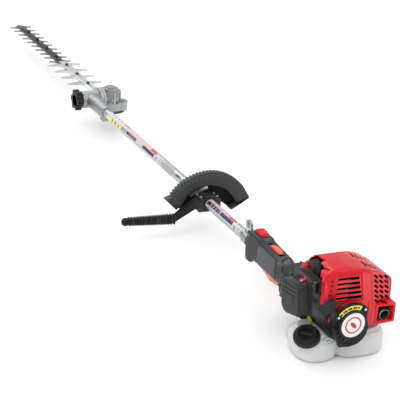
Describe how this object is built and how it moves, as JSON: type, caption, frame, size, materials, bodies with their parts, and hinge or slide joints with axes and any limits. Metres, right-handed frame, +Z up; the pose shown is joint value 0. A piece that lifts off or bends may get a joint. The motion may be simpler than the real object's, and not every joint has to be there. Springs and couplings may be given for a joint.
{
  "type": "pole hedge trimmer",
  "caption": "Petrol pole hedge trimmer: engine on a clear tank stand, straight pole with throttle and loop handles, and a swinging reciprocating cutting head.",
  "frame": {"origin": "centre of the fuel tank's flat base, straight below the crankshaft", "axes": "+Y along the pole towards the blade, +X to the right side of the machine, +Z up"},
  "size_m": [0.344, 2.306, 0.21],
  "materials": {
    "tank_plastic": "translucent, milky",
    "black_plastic": "fine grained",
    "fuel_hose": "smooth",
    "black_rubber": "matt",
    "rope": "braided",
    "white_plastic": "smooth",
    "cast_alloy": "cast, satin",
    "bearing_steel": "ground",
    "steel": "machined",
    "ceramic": "glazed",
    "foam": "open foam",
    "red_plastic": "glossy moulded",
    "zinc_screws": "zinc plated",
    "black_alloy": "black powder coat",
    "tube_alloy": "drawn tube",
    "bush_bronze": "sintered",
    "grip_plastic": "grained",
    "orange_plastic": "moulded",
    "grip_rubber": "ribbed",
    "bright_alloy": "die cast",
    "blade_steel": "ground"
  },
  "bodies": {
    "frame": {"fuel_tank": "tank_plastic", "fuel_line": "fuel_hose", "starter_case": "black_plastic", "crankcase_front": "cast_alloy", "crankcase_rear": "cast_alloy", "crank_bearings": "bearing_steel", "fan_housing": "cast_alloy", "engine_cylinder": "cast_alloy", "spark_plug": "ceramic", "plug_cap": "black_rubber", "ignition_coil": "black_plastic", "muffler": "steel", "intake_insulator": "black_plastic", "carburetor": "cast_alloy", "air_cleaner_base": "black_plastic", "air_filter": "foam", "air_cleaner_cover": "black_plastic", "engine_cover": "red_plastic", "engine_screws": "zinc_screws", "drum_bearing": "bearing_steel", "clutch_housing": "black_alloy", "drive_tube": "tube_alloy", "tube_bushes": "bush_bronze", "handle_left": "grip_plastic", "handle_right": "grip_plastic", "throttle_cable": "black_rubber", "handle_screws": "zinc_screws", "harness_bracket": "zinc_screws", "loop_handle": "grip_rubber", "loop_clamp": "black_alloy", "loop_bolts": "zinc_screws", "barrier_bar": "black_plastic", "angle_housing": "bright_alloy", "head_bearings": "bearing_steel"},
    "fuel_cap": {"fuel_cap": "black_plastic"},
    "pull_grip": {"starter_grip": "black_rubber", "starter_rope": "rope"},
    "reel": {"starter_reel": "white_plastic"},
    "crank": {"crankshaft": "steel", "flywheel": "cast_alloy", "clutch_shoes": "steel"},
    "piston": {"piston": "cast_alloy"},
    "throttle_arm": {"throttle_arm": "steel"},
    "primer": {"primer_bulb": "black_rubber"},
    "choke": {"choke_lever": "red_plastic"},
    "cover_knob": {"cover_knob": "red_plastic"},
    "driveline": {"clutch_drum": "steel", "drive_shaft": "steel"},
    "trigger": {"throttle_trigger": "orange_plastic"},
    "lockout": {"trigger_lockout": "orange_plastic"},
    "stop_switch": {"stop_switch": "red_plastic"},
    "swing_gear": {"swing_gear": "steel"},
    "lock_knob": {"lock_knob": "black_plastic"},
    "swing_head": {"swing_case": "bright_alloy", "swing_cover": "bright_alloy", "blade_bar": "blade_steel", "blade_bolts": "black_alloy"},
    "crank_gear": {"crank_gear": "steel"},
    "upper_blade": {"upper_blade": "blade_steel"},
    "lower_blade": {"lower_blade": "blade_steel"}
  },
  "joints": [
    {"name": "swing", "type": "hinge", "parent": "frame", "child": "swing_head", "pos_m": [0.03, 1.37, 0.088], "axis": [1, 0, 0], "range_deg": [-45, 90]},
    {"name": "shaft_spin", "type": "hinge", "parent": "frame", "child": "driveline", "pos_m": [0, 0.6, 0.088], "axis": [0, 1, 0], "continuous": true},
    {"name": "swing_gear_spin", "type": "hinge", "parent": "frame", "child": "swing_gear", "pos_m": [0.02, 1.37, 0.088], "axis": [1, 0, 0], "continuous": true},
    {"name": "crank_gear_spin", "type": "hinge", "parent": "swing_head", "child": "crank_gear", "pos_m": [0.058, 1.37, 0.088], "axis": [0, 0, 1], "continuous": true},
    {"name": "upper_blade_slide", "type": "slide", "parent": "swing_head", "child": "upper_blade", "axis": [0, 1, 0], "range_m": [-0.01, 0]},
    {"name": "lower_blade_slide", "type": "slide", "parent": "swing_head", "child": "lower_blade", "axis": [0, 1, 0], "range_m": [0, 0.01]},
    {"name": "lock_knob_turn", "type": "hinge", "parent": "frame", "child": "lock_knob", "pos_m": [-0.03, 1.37, 0.088], "axis": [1, 0, 0], "range_deg": [0, 360]},
    {"name": "crank_spin", "type": "hinge", "parent": "frame", "child": "crank", "pos_m": [0, 0, 0.088], "axis": [0, 1, 0], "continuous": true},
    {"name": "piston_stroke", "type": "slide", "parent": "frame", "child": "piston", "axis": [0, 0, 1], "range_m": [-0.03, 0]},
    {"name": "starter_pull", "type": "slide", "parent": "frame", "child": "pull_grip", "axis": [-0.5736, 0, 0.8192], "range_m": [0, 0.06], "stiffness_N_per_m": 60, "springref_m": -0.01},
    {"name": "reel_turn", "type": "hinge", "parent": "frame", "child": "reel", "pos_m": [0, -0.092, 0.088], "axis": [0, 1, 0], "range_deg": [-230, 230]},
    {"name": "throttle_squeeze", "type": "hinge", "parent": "frame", "child": "trigger", "pos_m": [0, 0.316, 0.066], "axis": [1, 0, 0], "range_deg": [-8, 0], "stiffness_Nm_per_rad": 1.5, "springref_deg": 6.88},
    {"name": "throttle_arm_turn", "type": "hinge", "parent": "frame", "child": "throttle_arm", "pos_m": [-0.057, 0, 0.16], "axis": [0, 0, 1], "range_deg": [-72, 72]},
    {"name": "lockout_press", "type": "hinge", "parent": "frame", "child": "lockout", "pos_m": [0, 0.256, 0.107], "axis": [1, 0, 0], "range_deg": [0, 7], "stiffness_Nm_per_rad": 1, "springref_deg": -6.88},
    {"name": "stop_slide", "type": "slide", "parent": "frame", "child": "stop_switch", "axis": [0, 1, 0], "range_m": [-0.006, 0]},
    {"name": "choke_turn", "type": "hinge", "parent": "frame", "child": "choke", "pos_m": [-0.084, -0.02603, 0.17516], "axis": [0, 0.2419, 0.9703], "range_deg": [0, 40]},
    {"name": "primer_press", "type": "slide", "parent": "frame", "child": "primer", "axis": [0, 1, 0], "range_m": [0, 0.004], "stiffness_N_per_m": 300},
    {"name": "fuel_cap_turn", "type": "hinge", "parent": "frame", "child": "fuel_cap", "pos_m": [-0.07028, -0.04498, 0.05766], "axis": [-0.3141, -0.3489, 0.8829], "range_deg": [0, 360]},
    {"name": "cover_knob_turn", "type": "hinge", "parent": "frame", "child": "cover_knob", "pos_m": [-0.04, 0.041, 0.164], "axis": [1, 0, 0], "range_deg": [0, 360]}
  ],
  "couplings": [
    {"joint": "swing_gear_spin", "follows": "shaft_spin", "ratio": 1},
    {"joint": "crank_gear_spin", "follows": "shaft_spin", "ratio": 0.5},
    {"joint": "lower_blade_slide", "follows": "upper_blade_slide", "ratio": -1},
    {"joint": "throttle_arm_turn", "follows": "throttle_squeeze", "ratio": 8},
    {"joint": "reel_turn", "follows": "starter_pull", "rad_per_m": 62.5}
  ]
}
